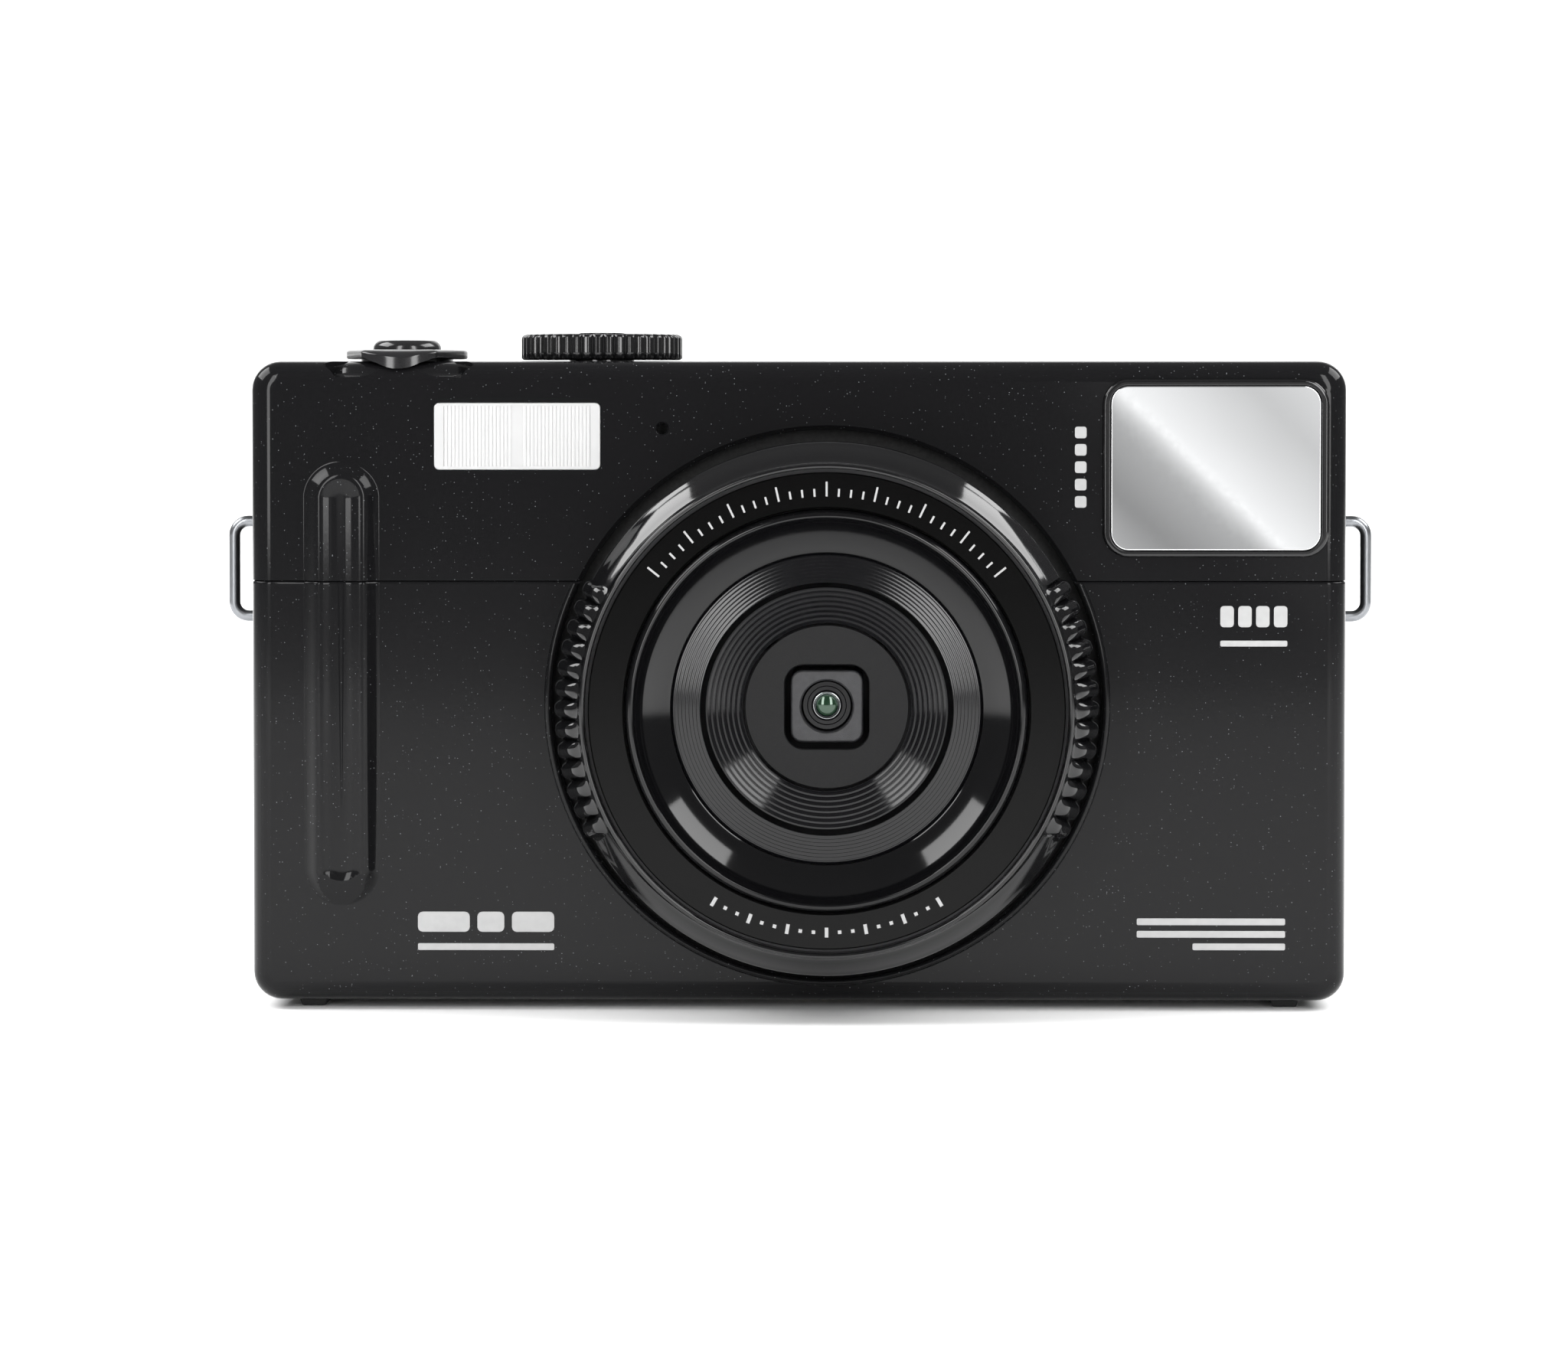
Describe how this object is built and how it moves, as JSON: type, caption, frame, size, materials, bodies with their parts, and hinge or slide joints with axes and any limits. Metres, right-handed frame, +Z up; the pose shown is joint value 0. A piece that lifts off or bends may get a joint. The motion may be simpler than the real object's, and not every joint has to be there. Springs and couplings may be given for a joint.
{
  "type": "compact digital camera",
  "caption": "Black compact camera with a large ring-framed lens, flash window, self-portrait mirror, ribbed mode dial and zoom lever.",
  "frame": {"origin": "middle of the bounding box in plan, on the surface that the two skids stand on", "axes": "front faces -Y, +X towards the mirror's side, away from the hand grip, +Z up"},
  "size_m": [0.1194, 0.038, 0.0707],
  "materials": {
    "case": "moulded ABS, gloss black with a fine metallic speckle",
    "ring_print": "gloss black with light grey print",
    "funnel": "gloss black",
    "baffle": "fine turned grooves, dark satin",
    "plate": "fine matt texture",
    "module": "grainy dark paint",
    "bevel": "turned bright edge",
    "lens_glass": "coated green",
    "flash_lens": "clear acrylic with upright ribs over a white reflector",
    "reflector": "bright",
    "tube_glass": "clear tube",
    "mirror_surround": "gloss black",
    "mirror": "mirrored acrylic",
    "buttons": "gloss black",
    "dial": "ribbed, gloss black",
    "wire": "polished steel wire",
    "rubber": "matt black",
    "screen": "black glass-clear window",
    "panel": "screen panel",
    "inner_plastic": "moulded",
    "steel": "pressed sheet",
    "board": "glass-fibre board, green",
    "chip": "moulded",
    "pack": "plain sleeve",
    "brass": "turned"
  },
  "bodies": {
    "root": {"front_cover": "case", "top_cover": "case", "rear_cover": "case", "grip_ring": "case", "name_ring": "ring_print", "lens_cone": "funnel", "outer_baffle": "baffle", "inner_baffle": "baffle", "centre_plate": "plate", "module_cover": "module", "flash_window": "flash_lens", "flash_reflector": "reflector", "flash_tube": "tube_glass", "mirror_bezel": "mirror_surround", "mirror_plate": "mirror", "strap_loop_left": "wire", "strap_loop_right": "wire", "foot_left": "rubber", "foot_right": "rubber", "thumb_rest": "rubber", "lcd_window": "screen", "lcd_panel": "panel", "mid_frame": "inner_plastic", "lens_barrel": "inner_plastic", "shutter_bracket": "inner_plastic", "dial_switch": "inner_plastic", "battery_box": "inner_plastic", "microphone": "inner_plastic", "speaker": "inner_plastic", "lcd_frame": "steel", "card_socket": "steel", "usb_socket": "steel", "shutter_spring": "steel", "case_screws": "steel", "main_board": "board", "sensor_board": "board", "shutter_switch": "board", "key_board": "board", "board_chips": "chip", "image_sensor": "chip", "flash_capacitor": "chip", "memory_card": "chip", "battery": "pack", "tripod_bush": "brass", "battery_contacts": "brass"},
    "shutter": {"shutter_button": "buttons"},
    "lever": {"zoom_lever": "buttons", "lever_washer": "steel"},
    "dial": {"mode_dial": "dial", "dial_cap": "dial"},
    "power": {"power_button": "buttons"},
    "menu": {"menu_button": "buttons"},
    "playback": {"playback_button": "buttons"},
    "delete": {"delete_button": "buttons"},
    "pad": {"direction_pad": "buttons"},
    "ok": {"ok_button": "buttons"},
    "focus": {"focus_carrier": "plate", "lens_retainer": "bevel", "front_element": "lens_glass"},
    "door": {"battery_door": "case"}
  },
  "joints": [
    {"name": "shutter_press", "type": "slide", "parent": "root", "child": "shutter", "axis": [0, 0, -1], "range_m": [0, 0.0008], "stiffness_N_per_m": 800, "deforming": ["shutter_spring"]},
    {"name": "zoom_turn", "type": "hinge", "parent": "root", "child": "lever", "pos_m": [-0.0416, 0.0037, 0.0676], "axis": [0, 0, 1], "range_deg": [-15, 15], "stiffness_Nm_per_rad": 0.02},
    {"name": "dial_turn", "type": "hinge", "parent": "root", "child": "dial", "pos_m": [-0.021, 0.0052, 0.0676], "axis": [0, 0, 1], "continuous": true},
    {"name": "power_press", "type": "slide", "parent": "root", "child": "power", "axis": [0, 0, -1], "range_m": [0, 0.0003], "stiffness_N_per_m": 3000},
    {"name": "menu_press", "type": "slide", "parent": "root", "child": "menu", "axis": [0, -1, 0], "range_m": [0, 0.0003], "stiffness_N_per_m": 2500},
    {"name": "playback_press", "type": "slide", "parent": "root", "child": "playback", "axis": [0, -1, 0], "range_m": [0, 0.0003], "stiffness_N_per_m": 2500},
    {"name": "delete_press", "type": "slide", "parent": "root", "child": "delete", "axis": [0, -1, 0], "range_m": [0, 0.0003], "stiffness_N_per_m": 2500},
    {"name": "pad_press", "type": "slide", "parent": "root", "child": "pad", "axis": [0, -1, 0], "range_m": [0, 0.0003], "stiffness_N_per_m": 2500},
    {"name": "ok_press", "type": "slide", "parent": "root", "child": "ok", "axis": [0, -1, 0], "range_m": [0, 0.0003], "stiffness_N_per_m": 2500},
    {"name": "focus_move", "type": "slide", "parent": "root", "child": "focus", "axis": [0, -1, 0], "range_m": [0, 0.0003], "stiffness_N_per_m": 150},
    {"name": "door_open", "type": "hinge", "parent": "root", "child": "door", "pos_m": [-0.017, 0.002, 0.0017], "axis": [0, -1, 0], "range_deg": [0, 95]}
  ]
}
